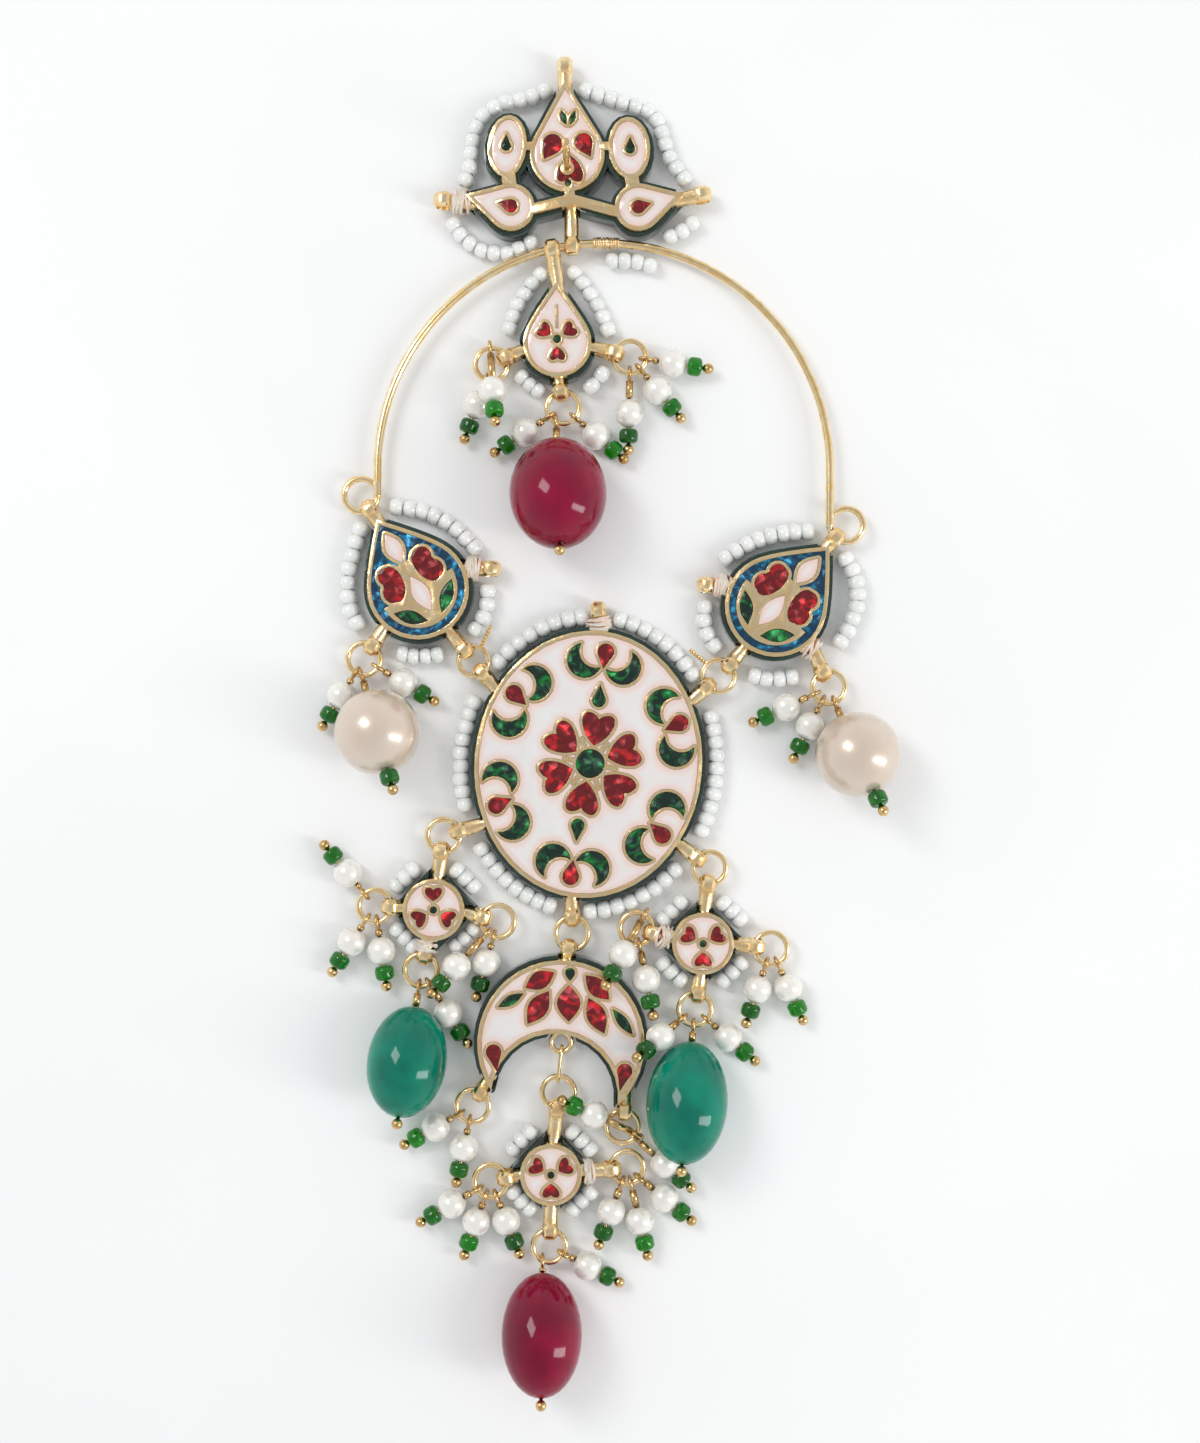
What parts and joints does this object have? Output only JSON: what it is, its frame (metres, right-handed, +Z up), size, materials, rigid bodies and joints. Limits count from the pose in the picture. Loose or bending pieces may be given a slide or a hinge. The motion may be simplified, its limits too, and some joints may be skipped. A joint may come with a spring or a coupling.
{
  "type": "earring",
  "caption": "Large ear drop: enamelled gold plates with a hoop, an oval medallion, a crescent and many hanging pearl and stone beads.",
  "frame": {"origin": "middle of the footprint, on the plane that the piece lies on", "axes": "+Y along the length towards the ear stud, +Z up out of the enamelled face that shows, +X to the right seen from above"},
  "size_m": [0.0642, 0.1476, 0.0134],
  "materials": {
    "gold": "warm soft gold, finely brushed",
    "enamel_white": "opaque pinkish white enamel, glossy",
    "enamel_red": "deep red enamel over bright foil, glossy",
    "enamel_green": "dark green enamel over bright foil, glossy",
    "enamel_blue": "teal blue enamel over bright foil, glossy",
    "enamel_walls": "very dark green enamel on the side walls, glossy",
    "ruby": "crimson stone bead, polished, a little see-through",
    "emerald": "teal green stone bead, polished, a little see-through",
    "large_pearl": "creamy pink pearl, satin glow",
    "small_pearl": "silvery white pearl, satin glow",
    "green_seed": "bright green see-through bead, glossy",
    "seed_pearl": "glossy pearl white bead"
  },
  "bodies": {
    "root": {"stud_setting": "gold", "upper_drop_setting": "gold", "left_pendant_setting": "gold", "right_pendant_setting": "gold", "medallion_setting": "gold", "lower_left_setting": "gold", "lower_right_setting": "gold", "crescent_setting": "gold", "bottom_setting": "gold", "enamel_white": "enamel_white", "enamel_red": "enamel_red", "enamel_green": "enamel_green", "enamel_blue": "enamel_blue", "enamel_walls": "enamel_walls", "hoop": "gold", "ruby_bead_upper": "ruby", "ruby_bead_lower": "ruby", "green_bead_left": "emerald", "green_bead_right": "emerald", "large_pearl_left": "large_pearl", "large_pearl_right": "large_pearl", "upper_drop_rings": "gold", "left_pendant_rings": "gold", "right_pendant_rings": "gold", "lower_left_rings": "gold", "lower_right_rings": "gold", "crescent_rings": "gold", "bottom_rings": "gold", "upper_drop_pins": "gold", "left_pendant_pins": "gold", "right_pendant_pins": "gold", "lower_left_pins": "gold", "lower_right_pins": "gold", "crescent_pins": "gold", "bottom_pins": "gold", "upper_drop_pearls": "small_pearl", "left_pendant_pearls": "small_pearl", "right_pendant_pearls": "small_pearl", "lower_left_pearls": "small_pearl", "lower_right_pearls": "small_pearl", "crescent_pearls": "small_pearl", "bottom_pearls": "small_pearl", "upper_drop_greens": "green_seed", "left_pendant_greens": "green_seed", "right_pendant_greens": "green_seed", "lower_left_greens": "green_seed", "lower_right_greens": "green_seed", "crescent_greens": "green_seed", "bottom_greens": "green_seed", "left_link": "gold", "right_link": "gold", "stud_seeds": "seed_pearl", "upper_drop_seeds": "seed_pearl", "left_pendant_seeds": "seed_pearl", "right_pendant_seeds": "seed_pearl", "medallion_seeds": "seed_pearl", "lower_left_seeds": "seed_pearl", "lower_right_seeds": "seed_pearl", "bottom_seeds": "seed_pearl"}
  },
  "joints": []
}
